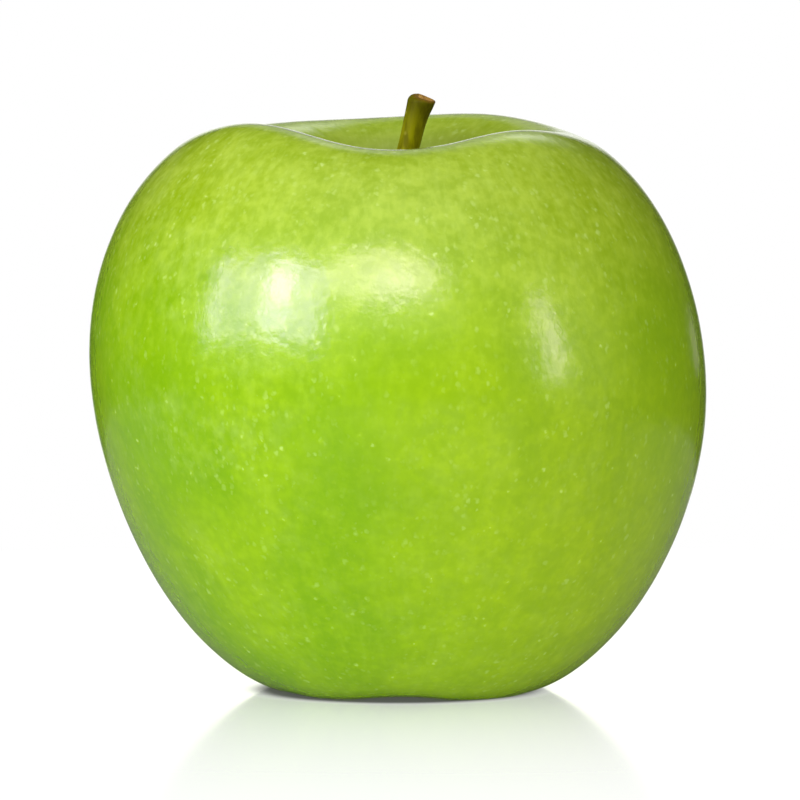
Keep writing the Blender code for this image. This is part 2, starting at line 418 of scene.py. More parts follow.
class Effects:
    """The shader groups that more than one finish uses, each built once."""

    def __init__(self) -> None:
        """Builds the groups."""
        self.cloud_group = self._cloud_group()
        self.speck_group = self._speck_group()
        self.strand_group = self._strand_group()

    def clouds(self, place: Term, scale: float, low: float, high: float) -> Term:
        """The mask of soft-edged patches over the place."""
        inputs = {"Place": place, "Patches per Metre": scale, "Low": low, "High": high}
        return place.sheet.out(place.sheet.use(self.cloud_group, inputs))

    def specks(self, place: Term, scale: float, size: float, halo: float) -> tuple[Term, Term]:
        """The masks of the pores' bright dots and of the soft rings round them."""
        inputs = {"Place": place, "Specks per Metre": scale, "Size": size, "Halo": halo}
        node = place.sheet.use(self.speck_group, inputs)
        return place.sheet.out(node, "Dot"), place.sheet.out(node, "Ring")

    def strands(self, place: Term, down: Term, across: float, length: float) -> Term:
        """The mask of streaks of this width and length."""
        inputs = {"Place": place, "Way Down": down, "Strands per Metre": across, "Length to Width": length}
        return place.sheet.out(place.sheet.use(self.strand_group, inputs))

    def _cloud_group(self) -> NodeTree:
        """Soft-edged patches."""
        sheet = Sheet.group("clouds", Kind.SHADE)
        place = sheet.take("Place", kind=Socket.VECTOR)
        scale = sheet.take("Patches per Metre", 100.0)
        low = sheet.take("Low", 0.4)
        high = sheet.take("High", 0.6)
        sheet.give("Mask", sheet.noise(place, scale, 3.0).eased(low, high))
        return sheet.tree

    def _speck_group(self) -> NodeTree:
        """Small round breathing pores: a bright dot in a soft ring, of uneven size, strength and spacing."""
        sheet = Sheet.group("specks", Kind.SHADE)
        place = sheet.take("Place", kind=Socket.VECTOR)
        scale = sheet.take("Specks per Metre", 400.0)
        size = sheet.take("Size", 0.12)
        halo = sheet.take("Halo", 0.3)
        cells = sheet.add("ShaderNodeTexVoronoi", {"Vector": place, "Scale": scale, "Randomness": 1.0})
        distance = sheet.out(cells, "Distance")
        chance, swell, _ = sheet.split(sheet.out(cells, "Color"))
        strength = chance.eased(0.2, 0.9)
        radius = size * (0.6 + 0.6 * swell)
        sheet.give("Dot", strength * (1.0 - distance.eased(radius * 0.3, radius)))
        sheet.give("Ring", strength * (1.0 - distance.eased(radius * 0.5, halo)))
        return sheet.tree

    def _strand_group(self) -> NodeTree:
        """Fine streaks that run from the top to the base, the same width all the way down."""
        sheet = Sheet.group("strands", Kind.SHADE)
        place = sheet.take("Place", kind=Socket.VECTOR)
        down = sheet.take("Way Down", 0.0)
        across = sheet.take("Strands per Metre", 900.0)
        length = sheet.take("Length to Width", 5.0)
        x, y, _ = sheet.split(place)
        reach = sheet.math("SQRT", x * x + y * y + 1e-8)
        ring = sheet.join(x / reach * STRAND_RADIUS, y / reach * STRAND_RADIUS, down / length)
        sheet.give("Mask", sheet.noise(ring, across).eased(0.48, 0.76))
        return sheet.tree


def new_finish(name: str) -> tuple[Material, Sheet, Node]:
    """A new material, the sheet of its nodes and its Principled shader."""
    material = bpy.data.materials.new(name)
    material.use_nodes = True
    return material, Sheet(material.node_tree), material.node_tree.nodes["Principled BSDF"]


@dataclass(frozen=True)
class SkinFinish:
    """Waxy green skin: mottled, finely streaked towards the top, set with pale pores and darkened by painted shade
    on its right flank.

    A pattern of clouds is given as its patches a metre and the two ends of its soft edge, and a pattern of
    pores as its pores a metre and the sizes of its dots and rings.
    """

    deep: Colour = (0.152, 0.312, 0.001)
    fresh: Colour = (0.208, 0.368, 0.002)
    warm: Colour = (0.262, 0.370, 0.002)
    crest: Colour = (0.280, 0.368, 0.008)
    # Painted shade: the deeper green laid on the right flank, the side turned away from the key light.
    painted_shade_flank: Colour = (0.180, 0.315, 0.000)
    shade: Colour = (0.100, 0.225, 0.001)
    light_low: Colour = (0.340, 0.500, 0.004)
    light_high: Colour = (0.420, 0.550, 0.085)
    speck: Colour = (0.480, 0.610, 0.170)
    pore: Colour = (0.600, 0.720, 0.280)
    hollow: Colour = (0.150, 0.185, 0.028)
    russet: Colour = (0.260, 0.230, 0.060)
    patches: Pattern = (38.0, 0.38, 0.62)
    mottling: Pattern = (200.0, 0.36, 0.70)
    graining: Pattern = (750.0, 0.36, 0.72)
    gathers: Pattern = (260.0, 0.40, 0.62)
    blooms: Pattern = (480.0, 0.34, 0.76)
    drifts: Pattern = (90.0, 0.36, 0.60)
    pores: Pattern = (420.0, 0.13, 0.26)
    flecks: Pattern = (780.0, 0.36, 0.46)
    dusting: Pattern = (1150.0, 0.42, 0.54)
    strands: Span = (700.0, 3.2)
    threads: Span = (1500.0, 2.2)
    tallness: float = 0.7
    bands: int = 6
    band_height: float = 0.038
    band_spread: float = 0.017
    roughness: float = 0.18
    sheen_level: float = 0.55
    wax: float = 0.08
    wax_roughness: float = 0.10

    def material(self, effects: Effects) -> Material:
        """Builds the material.

        Args:
            effects: the shared shader groups.

        Returns:
            The skin's material.
        """
        material, sheet, shader = new_finish("apple_skin")
        place = sheet.here()
        x, y, z = sheet.split(place)
        reach = sheet.math("SQRT", x * x + y * y)
        upper = z.eased(0.018, 0.072)
        # Painted shade: the mask of the right flank at mid-height. There the skin is darkened, and its pale marks
        # and blooms are thinned.
        painted_shade_flank = x.eased(0.022, 0.035) * z.hump(0.049, 0.020)
        pale = (1.0 - self._green_bands(place) * 0.75) * (0.42 + upper * 0.58) * (1.0 - painted_shade_flank * 0.6)
        light = sheet.mix(z.eased(0.032, 0.076), self.light_low, self.light_high)

        down = sheet.attribute(WAY_DOWN)
        mottle = effects.clouds(place, *self.mottling)
        grain = effects.clouds(place, *self.graining)
        gather = effects.clouds(place, *self.gathers)
        strand = effects.strands(place, down, *self.strands)
        thread = effects.strands(place, down, *self.threads)
        ragged = self._ragged(place)
        tall = ragged.stretched(self.tallness)
        dot, ring = effects.specks(ragged, *self.pores)
        fleck, _ = effects.specks(tall, *self.flecks)
        dust, _ = effects.specks(tall, *self.dusting)
        cheek = (0.05 + 0.13 * x.hump(-0.026, 0.008) * z.eased(0.016, 0.030)) * (1.0 - painted_shade_flank)
        bloom = effects.clouds(tall, *self.blooms) * effects.clouds(place, *self.drifts) * cheek
        hollow = (1.0 - reach.eased(0.010, 0.021)) * z.eased(0.050, 0.056)
        basin = (1.0 - reach.eased(0.003, 0.010)) * (1.0 - z.eased(0.008, 0.014))

        colour = sheet.layered(
            sheet.mix(effects.clouds(place, *self.patches), self.deep, self.fresh),
            (x.eased(-0.012, 0.034) * 0.75, self.warm),
            # Painted shade on the right flank.
            (painted_shade_flank * 0.7, self.painted_shade_flank),
            (z.eased(0.048, 0.072) * 0.8, self.crest),
            ((1.0 - mottle) * 0.14, self.shade),
            (mottle * pale * 0.24, light),
            ((1.0 - grain) * 0.14, self.shade),
            (strand * pale * 0.14, sheet.mix(0.35, light, self.speck)),
            (thread * pale * 0.16, light),
            (grain * pale * 0.20, light),
            (bloom, self.speck),
            (ring * 0.22, light),
            (dust * (0.05 + pale * 0.22) * (0.20 + gather * 0.80), self.speck),
            (fleck * (0.12 + pale * 0.28) * (0.25 + gather * 0.75), self.speck),
            (dot * (0.24 + upper * 0.10), self.pore),
            (hollow * 0.8, self.hollow),
            (basin * 0.5, self.russet),
        )
        height = sheet.noise(place, 420.0, 3.0) * 0.9 + grain * 0.35 - dot * 0.2
        looks = {
            "Base Color": colour,
            "Normal": sheet.bump(height, 0.11, 0.0004),
            "Roughness": self.roughness,
            "Coat Weight": self.wax,
            "Coat Roughness": self.wax_roughness,
            "Specular IOR Level": self.sheen_level,
        }
        sheet.fill(shader, looks)
        return material

    def _green_bands(self, place: Term) -> Term:
        """The mask of the six broad bands down the fruit where the skin is a plainer, deeper green."""
        sheet = place.sheet
        x, y, z = sheet.split(place)
        azimuth = sheet.math("ARCTAN2", x, 0.0 - y)
        drift = (sheet.noise(place, 45.0) - 0.5) * 1.4
        band = 0.5 + 0.5 * ((azimuth + drift) * self.bands).cosine()
        return band * z.hump(self.band_height, self.band_spread)

    @staticmethod
    def _ragged(place: Term) -> Term:
        """The place, shaken a little, so that what is marked by it has ragged edges."""
        sheet = place.sheet
        shaken = sheet.term("ShaderNodeTexNoise", {"Vector": place, "Scale": 1500.0, "Detail": 1.0}, "Color")
        pairs = zip(sheet.split(place), sheet.split(shaken))
        return sheet.join(*(here + (shake - 0.5) * 0.0007 for here, shake in pairs))


@dataclass(frozen=True)
class BarkFinish:
    """The stem's olive bark, with darker grooves and pale pores, and its reddish brown cut end."""

    bark: Colour = (0.076, 0.074, 0.001)
    lit: Colour = (0.220, 0.221, 0.001)
    groove: Colour = (0.055, 0.050, 0.001)
    pore: Colour = (0.420, 0.400, 0.060)
    cut: Colour = (0.230, 0.090, 0.012)
    pith: Colour = (0.560, 0.350, 0.090)
    fibres: Pattern = (1100.0, 0.30, 0.62)
    pores: Pattern = (480.0, 0.20, 0.28)
    tallness: float = 0.25
    roughness: float = 0.5
    sheen_level: float = 0.03

    def material(self, effects: Effects) -> Material:
        """Builds the material.

        Args:
            effects: the shared shader groups.

        Returns:
            The stem's material.
        """
        material, sheet, shader = new_finish("apple_stem")
        place = sheet.here()
        along = sheet.attribute("along")
        fibre = effects.clouds(place.stretched(self.tallness), *self.fibres)
        dot, _ = effects.specks(place, *self.pores)
        colour = sheet.layered(
            sheet.mix(fibre, self.groove, self.bark),
            ((0.35 + 0.65 * fibre) * (1.0 - along.eased(0.40, 0.85)), self.lit),
            (dot * 0.7, self.pore),
            (along.eased(0.90, 1.0) * 0.45, self.cut),
            (sheet.attribute("cut"), sheet.mix(sheet.noise(place, 1600.0), self.cut, self.pith)),
        )
        looks = {
            "Base Color": colour,
            "Normal": sheet.bump(fibre * 0.6 + dot * 0.4, 0.35, 0.0002),
            "Roughness": self.roughness,
            "Specular IOR Level": self.sheen_level,
        }
        sheet.fill(shader, looks)
        return material


@dataclass(frozen=True)
class HuskFinish:
    """The dry brown tissue of the sepals and stamens."""

    dark: Colour = (0.060, 0.032, 0.014)
    dry: Colour = (0.230, 0.150, 0.075)
    patches: Pattern = (700.0, 0.35, 0.68)
    roughness: float = 0.85

    def material(self, effects: Effects) -> Material:
        """Builds the material.

        Args:
            effects: the shared shader groups.

        Returns:
            The calyx's material.
        """
        material, sheet, shader = new_finish("dry_calyx")
        mask = effects.clouds(sheet.here(), *self.patches)
        colour = sheet.mix(mask, self.dark, self.dry)
        looks = {"Base Color": colour, "Normal": sheet.bump(mask, 0.6, 0.0002), "Roughness": self.roughness}
        sheet.fill(shader, looks)
        return material


@dataclass(frozen=True)
class Wave:
    """A rise and fall that runs round the fruit."""

    waves: int
    rise: float
    peak_degrees: float

    def height(self, angle: Term) -> Term:
        """The height that the wave gives at an angle round the fruit."""
        return self.rise * (self.waves * (angle - math.radians(self.peak_degrees))).cosine()


@dataclass
class Fruit:
    """The fruit: a half outline turned round its axis, which leans, and grown uneven by soft waves.

    The outline and the waves are those of the solid that it stands for, with finer steps, a snug hole
    round the stem and the small unevenness of real skin.
    """

    outline: tuple[Span, ...] = (
        (0.0016, 0.0606), (0.0045, 0.0615), (0.0120, 0.0690), (0.0219, 0.0736),
        (0.0298, 0.0693), (0.0368, 0.0586), (0.04005, 0.0421), (0.0368, 0.0238),
        (0.0285, 0.0085), (0.0196, 0.0011), (0.0136, -0.0004), (0.0096, 0.0011),
        (0.0060, 0.0042), (0.0034, 0.0070),
    )
    rows: int = 236
    sides: int = 360
    hole_depth: float = 0.0030
    gap: float = 0.0003
    calyx_hole_radius: float = 0.0021
    calyx_hole_depth: float = 0.0030
    lean: float = -0.00115
    lean_centre: float = 0.0425
    lean_span: float = 0.0205
    crest_radius: float = 0.0194
    crest_spread: float = 0.0095
    crest_fade: Span = (0.045, 0.068)
    crest_waves: tuple[Wave, ...] = (
        Wave(1, 0.00020, 111),
        Wave(2, 0.00045, 39),
        Wave(3, 0.00070, -35),
        Wave(4, 0.00053, 45),
    )
    lobes: int = 5
    lobe_turn: float = math.radians(90)
    lobe_radius: float = 0.0136
    lobe_spread: float = 0.0080
    lobe_fade: Span = (0.004, 0.025)
    lobe_gap_rise: float = 0.0005
    base_wave: Wave = Wave(2, 0.00040, 81)
    foot_back: float = 0.0055
    foot_reach: Span = (0.004, 0.014)
    foot_fade: Span = (0.0, 0.044)
    rib_share: float = 0.011
    rib_fade: Span = (0.008, 0.052)
    swell: float = 0.00016
    swells_per_metre: float = 62.0
    ripple: float = 0.00002
    ripples_per_metre: float = 330.0
    even_foot: Span = (0.0005, 0.006)

    def profile(self) -> list[Point]:
        """The half outline from pole to pole, in the XZ plane, with both holes."""
        line = [(float(x), 0.0, float(z)) for x, z in smooth_line(self.outline, self.rows)]
        lip_radius, lip_height = self.outline[0]
        floor = lip_height - self.hole_depth
        mouth = self.outline[-1][1] + self.gap
        roof = mouth + self.calyx_hole_depth
        top = [(0.0, 0.0, floor), (lip_radius, 0.0, floor)]
        bottom = [(self.calyx_hole_radius, 0.0, mouth), (self.calyx_hole_radius, 0.0, roof), (0.0, 0.0, roof)]
        return top + line + bottom

    def tree(self) -> NodeTree:
        """Writes the shape tree.

        Returns:
            A tree that turns the outline it is given and grows it uneven.
        """
        sheet = Sheet.group("grown_fruit", Kind.SHAPE)
        outline = sheet.take("Outline", kind=Socket.SHAPE)
        sides = sheet.take("Sides", 64, Socket.WHOLE)
        names = ("Lean", "Lobe Gap Rise", "Rib Share", "Swell", "Ripple")
        lean, gap_rise, rib_share, swell, ripple = (sheet.take(name, 0.0) for name in names)
        finish = sheet.take("Finish", kind=Socket.FINISH)

        count = sheet.term("GeometryNodeAttributeDomainSize", {0: outline}, "Point Count")
        grid = {"Size X": 1.0, "Size Y": 1.0, "Vertices X": count, "Vertices Y": sides + 1}
        shape = sheet.term("GeometryNodeMeshGrid", grid, "Mesh")
        place = sheet.term("GeometryNodeInputPosition")
        down, around, _ = sheet.split(place)
        row = sheet.math("ROUND", (down + 0.5) * (count - 1))
        radius, _, height = sheet.split(sheet.sample(outline, place, row, "FLOAT_VECTOR"))
        length = sheet.term("GeometryNodeInputNamedAttribute", {"Name": WAY_DOWN}, data_type="FLOAT")
        marks = {"Name": WAY_DOWN, "Value": sheet.sample(outline, length, row, "FLOAT")}
        shape = sheet.after(shape, "StoreNamedAttribute", marks, data_type="FLOAT", domain="POINT")
        position = self._rule(radius, height, around * math.tau, lean, gap_rise, rib_share)
        shape = sheet.after(shape, "SetPosition", {"Position": position})
        shape = sheet.after(shape, "MergeByDistance", {"Distance": SEAM})
        shape = sheet.after(self._unevenness(shape, swell, ripple), "SetShadeSmooth")
        shape = sheet.after(shape, "RealizeInstances")
        sheet.give("Fruit", sheet.after(shape, "SetMaterial", {"Material": finish}), Socket.SHAPE)
        return sheet.tree

    def _rule(
        self, radius: Term, height: Term, angle: Term, lean: Term, gap_rise: Term, rib_share: Term
    ) -> Term:
        """The rule that the turned outline is grown by.

        Args:
            radius: the outline's radius at a point.
            height: its height there.
            angle: the point's angle round the axis.
            lean: how far the axis leans each way.
            gap_rise: how high the gaps between the base's lobes are.
            rib_share: how far the ribs stand out, as a share of the radius.

        Returns:
            The point's place on the fruit.
        """
        sheet = radius.sheet
        lobe = (self.lobes * (angle - self.lobe_turn)).cosine()
        crest = radius.hump(self.crest_radius, self.crest_spread) * height.eased(*self.crest_fade)
        base = radius.hump(self.lobe_radius, self.lobe_spread) * (1.0 - height.eased(*self.lobe_fade))
        rib = rib_share * lobe * (1.0 - height.eased(*self.rib_fade))
        rise = base * (gap_rise * (1.0 - lobe) / 2.0 + self.base_wave.height(angle))
        for wave in self.crest_waves:
            rise = rise + crest * wave.height(angle)
        level = (height + rise).at_least(0.0)
        reach = radius * (1.0 + rib)
        shift = lean * sheet.math("TANH", (level - self.lean_centre) / self.lean_span)
        back = self.foot_back * radius.eased(*self.foot_reach) * (1.0 - level.eased(*self.foot_fade))
        return sheet.join(reach * angle.cosine() + shift, reach * angle.sine() + back, level)

    def _unevenness(self, shape: Term, swell: Term, ripple: Term) -> Term:
        """Sinks the skin by a little, here more and there less, but not where it stands on the ground."""
        sheet = shape.sheet
        place = sheet.term("GeometryNodeInputPosition")
        _, _, height = sheet.split(place)
        depth = swell * sheet.noise(place, self.swells_per_metre)
        depth = depth + ripple * sheet.noise(place, self.ripples_per_metre)
        sink = sheet.scaled(sheet.term("GeometryNodeInputNormal"), -1.0 * depth * height.eased(*self.even_foot))
        return sheet.after(shape, "SetPosition", {"Offset": sink})

    def build(self, finish: Material) -> Object:
        """Grows the fruit and hangs it on the frame.

        Args:
            finish: the skin's material.

        Returns:
            The finished piece.
        """
        line = self.profile()
        seed = line_object("outline", line)
        steps = np.linalg.norm(np.diff(np.array(line), axis=0), axis=1)
        ways = np.concatenate([[0.0], np.cumsum(steps)])
        seed.data.attributes.new(WAY_DOWN, "FLOAT", "POINT").data.foreach_set("value", ways)
        inputs = {
            "Sides": self.sides,
            "Lean": self.lean,
            "Lobe Gap Rise": self.lobe_gap_rise,
            "Rib Share": self.rib_share,
            "Swell": self.swell,
            "Ripple": self.ripple,
            "Finish": finish,
        }
        piece = grown("fruit_skin", seed, self.tree(), inputs)
        face_outwards(piece)
        dress(piece, "fruit")
        return piece


@dataclass
class Stem:
    """The stem: a bent, ridged stalk that thickens to a flared end, cut off aslant."""

    route: tuple[Point, ...] = (
        (-0.00075, 0.0, 0.0580), (-0.00075, 0.0, 0.0612), (-0.00050, 0.0, 0.0635),
        (0.00035, 0.0, 0.0675), (0.00143, 0.0, 0.0712), (0.00238, 0.0, 0.0750),
        (0.00295, 0.0, 0.0768), (0.00345, 0.0, 0.0786),
    )
    radii: tuple[float, ...] = (0.00142, 0.00142, 0.00140, 0.00140, 0.00144, 0.00157, 0.00180, 0.00205)
    cut_point: Point = (0.0031, 0.0, 0.07765)
    cut_facing: Point = (0.34, -0.10, 1.0)
    rings: int = 120
    sides: int = 64
    cut_rings: int = 12
    steps: int = 400
    crowding: float = 1.5
    twist: float = 1.5
    shoulder: Span = (0.00105, 0.00016)
    ridges: tuple[tuple[int, float], ...] = ((2, 0.030), (3, 0.022), (5, 0.016), (9, 0.010))
    roughness: float = 0.00004
    cut_roughness: float = 0.00012
    seed: int = 11

    def build(self, finish: Material) -> Object:
        """Models the stem and hangs it on the frame.

        Args:
            finish: the stem's material.

        Returns:
            The finished piece.
        """
        side, rim, centre, facing = self._side()
        cap = self._cap(rim, centre, facing)
        root = self.rings * self.sides
        verts = np.vstack([side, cap, [side[: self.sides].mean(0)]])
        faces = self._faces(len(verts) - 1)
        mesh = bpy.data.meshes.new("stem_bark")
        mesh.from_pydata([tuple(v) for v in verts], [], faces)
        along = np.repeat(np.linspace(0, 1, self.rings), self.sides)
        along = np.concatenate([along, np.ones(len(cap)), [0.0]])
        cut = np.zeros(len(verts))
        cut[root : root + len(cap)] = 1.0
        for name, values in (("along", along), ("cut", cut)):
            mesh.attributes.new(name, "FLOAT", "POINT").data.foreach_set("value", values)
        piece = placed("stem_bark", mesh)
        face_outwards(piece)
        dress(piece, "stem", finish)
        return piece

    def _side(self) -> tuple[np.ndarray, np.ndarray, np.ndarray, np.ndarray]:
        """The stem's side.

        Returns:
            The side's points ring by ring, its last ring, the middle of that ring and the way the cut faces.
        """
        draw = random.Random(self.seed)
        stations = [(*place, radius) for place, radius in zip(self.route, self.radii)]
        fine = smooth_line(stations, self.steps)
        middle, radius = fine[:, :3], fine[:, 3]
        ahead = np.gradient(middle, axis=0)
        ahead /= np.linalg.norm(ahead, axis=1)[:, None]
        right = np.cross(np.array([0.0, 1.0, 0.0]), ahead)
        right /= np.linalg.norm(right, axis=1)[:, None]
        back = np.cross(ahead, right)
        facing = np.array(self.cut_facing) / np.linalg.norm(self.cut_facing)
        share = np.linspace(0, 1, self.steps)
        half = self.steps // 2
        phases = [(draw.uniform(0, math.tau), draw.uniform(-self.twist, self.twist)) for _ in self.ridges]
        columns = []
        for angle in np.linspace(0, math.tau, self.sides, endpoint=False):
            ridge = sum(
                size * np.cos(count * angle + start + twist * share)
                for (count, size), (start, twist) in zip(self.ridges, phases)
            )
            reach = (radius * (1 + ridge))[:, None]
            line = middle + reach * (math.cos(angle) * right + math.sin(angle) * back)
            beyond = (line - np.array(self.cut_point)) @ facing
            stop = np.interp(0.0, beyond[half:], share[half:])
            steps = stop * (1 - (1 - np.linspace(0, 1, self.rings)) ** self.crowding)
            column = np.stack([np.interp(steps, share, line[:, i]) for i in range(3)], axis=1)
            axis = np.stack([np.interp(steps, share, middle[:, i]) for i in range(3)], axis=1)
            left, right_hand = self.shoulder
            bend = left + (right_hand - left) * (1 + math.cos(angle)) / 2
            depth = np.clip(1 + ((column - np.array(self.cut_point)) @ facing) / bend, 0, 1)[:, None]
            pull = bend * (1 - np.sqrt(1 - depth**2)) / reach.mean()
            columns.append(column + (axis - column) * pull)
        rings = np.stack(columns, axis=1)
        rim = rings[-1]
        return rings.reshape(-1, 3), rim, rim.mean(0), facing

    def _cap(self, rim: np.ndarray, centre: np.ndarray, facing: np.ndarray) -> np.ndarray:
        """The torn wood of the cut end: rings that shrink to the middle, with uneven height."""
        draw = random.Random(self.seed + 1)
        points = []
        for ring in range(1, self.cut_rings):
            share = 1 - ring / self.cut_rings
            for place in rim:
                rise = draw.uniform(-1, 1) * self.cut_roughness * (1 - share**4)
                points.append(centre + share * (place - centre) + rise * facing)
        points.append(centre)
        return np.array(points)

    def _faces(self, root: int) -> list[tuple[int, ...]]:
        """The faces between the rings, the middle of the cut and the middle of the root."""
        faces = []
        rings = self.rings + self.cut_rings - 1
        tip = rings * self.sides
        for ring in range(rings - 1):
            for side in range(self.sides):
                here, there = ring * self.sides + side, ring * self.sides + (side + 1) % self.sides
                faces.append((here, there, there + self.sides, here + self.sides))
        last = (rings - 1) * self.sides
        for side in range(self.sides):
            on = (side + 1) % self.sides
            faces.append((last + side, last + on, tip))
            faces.append((on, side, root))
        return faces


@dataclass
class Calyx:
    """The dried calyx in the basin of the base: five curled sepals round a tuft of stamens."""

    mouth: float = 0.0073
    centre_x: float = 0.00108
    sepals: int = 5
    sepal_turn: float = math.radians(54)
    sepal_width: float = 0.0027
    sepal_thickness: float = 0.00035
    sepal_route: tuple[Point, ...] = (
        (0.0009, 0.0, 0.0006), (0.0016, 0.0, -0.0006), (0.0021, 0.0, -0.0019),
        (0.0029, 0.0, -0.0031), (0.0043, 0.0, -0.0037),
    )
    rows: int = 24
    columns: int = 11
    stamens: int = 15
    stamen_length: float = 0.0027
    stamen_radius: float = 0.00013
    plug_radius: float = 0.0018
    plug_top: float = 0.0026
    seed: int = 3
    blunt: float = 0.08
    fold: float = 0.0005
    crumple: float = 0.0005
    sway: Point = (0.10, 0.12, 0.14)
    tuft_radius: float = 0.0011

    def sepal_tree(self) -> NodeTree:
        """Writes the tree of the sepals.

        Returns:
            A tree that makes one blade along the line it is given and sets copies of it in a ring.
        """
        sheet = Sheet.group("sepal_ring", Kind.SHAPE)
        route = sheet.take("Route", kind=Socket.SHAPE)
        number = sheet.take("Sepals", 5, Socket.WHOLE)
        width = sheet.take("Width", 0.002)
        seed = sheet.take("Seed", 0, Socket.WHOLE)
        finish = sheet.take("Finish", kind=Socket.FINISH)

        count = sheet.term("GeometryNodeAttributeDomainSize", {0: route}, "Point Count")
        grid = {"Size X": 2.0, "Size Y": 1.0, "Vertices X": self.columns, "Vertices Y": count}
        shape = sheet.term("GeometryNodeMeshGrid", grid, "Mesh")
        place = sheet.term("GeometryNodeInputPosition")
        across, up, _ = sheet.split(place)
        along = up + 0.5
        line = sheet.sample(route, place, sheet.math("ROUND", along * (count - 1)), "FLOAT_VECTOR")
        out, _, down = sheet.split(line)
        half = width / 2.0 * ((along * (math.pi / 2)).cosine() * (1.0 - self.blunt) + self.blunt)
        fold = sheet.math("ABSOLUTE", across) * self.fold * (1.0 - along * 0.4)
        blade = sheet.after(shape, "SetPosition", {"Position": sheet.join(out - fold, across * half, down)})

        ring = sheet.term("GeometryNodeMeshCircle", {"Vertices": number, "Radius": 1e-5})
        index = sheet.term("GeometryNodeInputIndex")
        low, high = [tuple(sign * angle for angle in self.sway) for sign in (-1, 1)]
        sways = sheet.term("FunctionNodeRandomValue", {"Seed": seed, 0: low, 1: high}, data_type="FLOAT_VECTOR")
        tip_x, tip_y, tip_z = sheet.split(sways)
        turn = sheet.join(tip_x, tip_y, tip_z + index * (math.tau / self.sepals) + self.sepal_turn)
        copies = {"Points": ring, "Instance": blade, "Rotation": turn}
        shape = sheet.after(sheet.term("GeometryNodeInstanceOnPoints", copies), "RealizeInstances")
        cloud = sheet.term("ShaderNodeTexNoise", {"Vector": place, "Scale": 900.0, "Detail": 1.0}, 1)
        centred = sheet.term("ShaderNodeVectorMath", {0: cloud, 1: (0.5, 0.5, 0.5)}, operation="SUBTRACT")
        shape = sheet.after(shape, "SetPosition", {"Offset": sheet.scaled(centred, self.crumple)})
        shape = sheet.after(shape, "RealizeInstances")
        sheet.give("Sepals", sheet.after(shape, "SetMaterial", {"Material": finish}), Socket.SHAPE)
        return sheet.tree

    def build(self, finish: Material) -> list[Object]:
        """Models the calyx and hangs it on the frame.

        Args:
            finish: the dry tissue's material.

        Returns:
            The finished pieces.
        """
        route = [tuple(float(v) for v in p) for p in smooth_line(self.sepal_route, self.rows)]
        seed = line_object("sepal_line", route)
        inputs = {"Sepals": self.sepals, "Width": self.sepal_width, "Seed": self.seed, "Finish": finish}
        sepals = grown("calyx_sepals", seed, self.sepal_tree(), inputs)
        wall = sepals.modifiers.new("wall", "SOLIDIFY")
        wall.thickness = self.sepal_thickness
        wall.offset = 0.0
        thick = evaluated(sepals)
        thick.transform(self._basin())
        sepals.modifiers.clear()
        sepals.data = thick
        face_outwards(sepals)
        tuft = self._tuft()
        for piece in (sepals, tuft):
            dress(piece, "calyx", finish)
        return [sepals, tuft]

    def _basin(self) -> Matrix:
        """The way from the middle to the mouth of the basin's hole."""
        return Matrix.Translation((self.centre_x, 0.0, self.mouth))

    def _tuft(self) -> Object:
        """The plug that fills the basin's hole and the dry stamens that hang from it."""
        draw = random.Random(self.seed)
        body = bmesh.new()
        deep = self.plug_top + 0.0004
        bmesh.ops.create_cone(
            body,
            cap_ends=True,
            segments=32,
            radius1=self.plug_radius * 0.8,
            radius2=self.plug_radius,
            depth=deep,
            matrix=Matrix.Translation((0, 0, self.plug_top - deep / 2)),
        )
        for i in range(self.stamens):
            turn = math.tau * i * GOLDEN_TURN
            reach = self.tuft_radius * math.sqrt((i + 0.5) / self.stamens)
            lean = Matrix.Rotation(math.pi + draw.uniform(-0.3, 0.3), 4, "X")
            lean = lean @ Matrix.Rotation(draw.uniform(-0.3, 0.3), 4, "Y")
            root = Matrix.Translation((reach * math.cos(turn), reach * math.sin(turn), 0.0)) @ lean
            length = self.stamen_length * draw.uniform(0.6, 1.0)
            bmesh.ops.create_cone(
                body,
                cap_ends=True,
                segments=8,
                radius1=self.stamen_radius * 1.3,
                radius2=self.stamen_radius,
                depth=length,
                matrix=root @ Matrix.Translation((0, 0, length / 2)),
            )
            head = root @ Matrix.Translation((0, 0, length))
            bmesh.ops.create_icosphere(body, subdivisions=2, radius=self.stamen_radius * 2.1, matrix=head)
        mesh = mesh_of("calyx_tuft", body)
        mesh.transform(self._basin())
        mesh.shade_smooth()
        return placed("calyx_tuft", mesh)


class Cast(Enum):
    """What a light gives a surface, with the light's tint: matt colour only, or cooler or warmer gloss only."""

    MATT = (1.0, 1.0, 1.0)
    COOL_GLOSS = (0.78, 0.57, 1.0)
    WARM_GLOSS = (1.0, 0.74, 0.86)


@dataclass
class Softbox:
    """A soft light, by where it stands as seen from the apple: angles in degrees, sizes in metres."""

    name: str
    cast: Cast
    azimuth: float
    elevation: float
    width: float
    height: float
    power: float
    rounded: bool = False
    distance: float = 1.0

    def build(self, target: Vector) -> None:
        """Sets the light up, facing the target."""
        lamp = bpy.data.lights.new(self.name, "AREA")
        lamp.shape = "ELLIPSE" if self.rounded else "RECTANGLE"
        lamp.size = self.width
        lamp.size_y = self.height
        lamp.energy = self.power
        lamp.color = self.cast.value
        light = placed(self.name, lamp)
        aimed(light, target, self.azimuth, self.elevation, self.distance)
        light.visible_camera = False
        light.visible_diffuse = self.cast is Cast.MATT
        light.visible_glossy = self.cast is not Cast.MATT


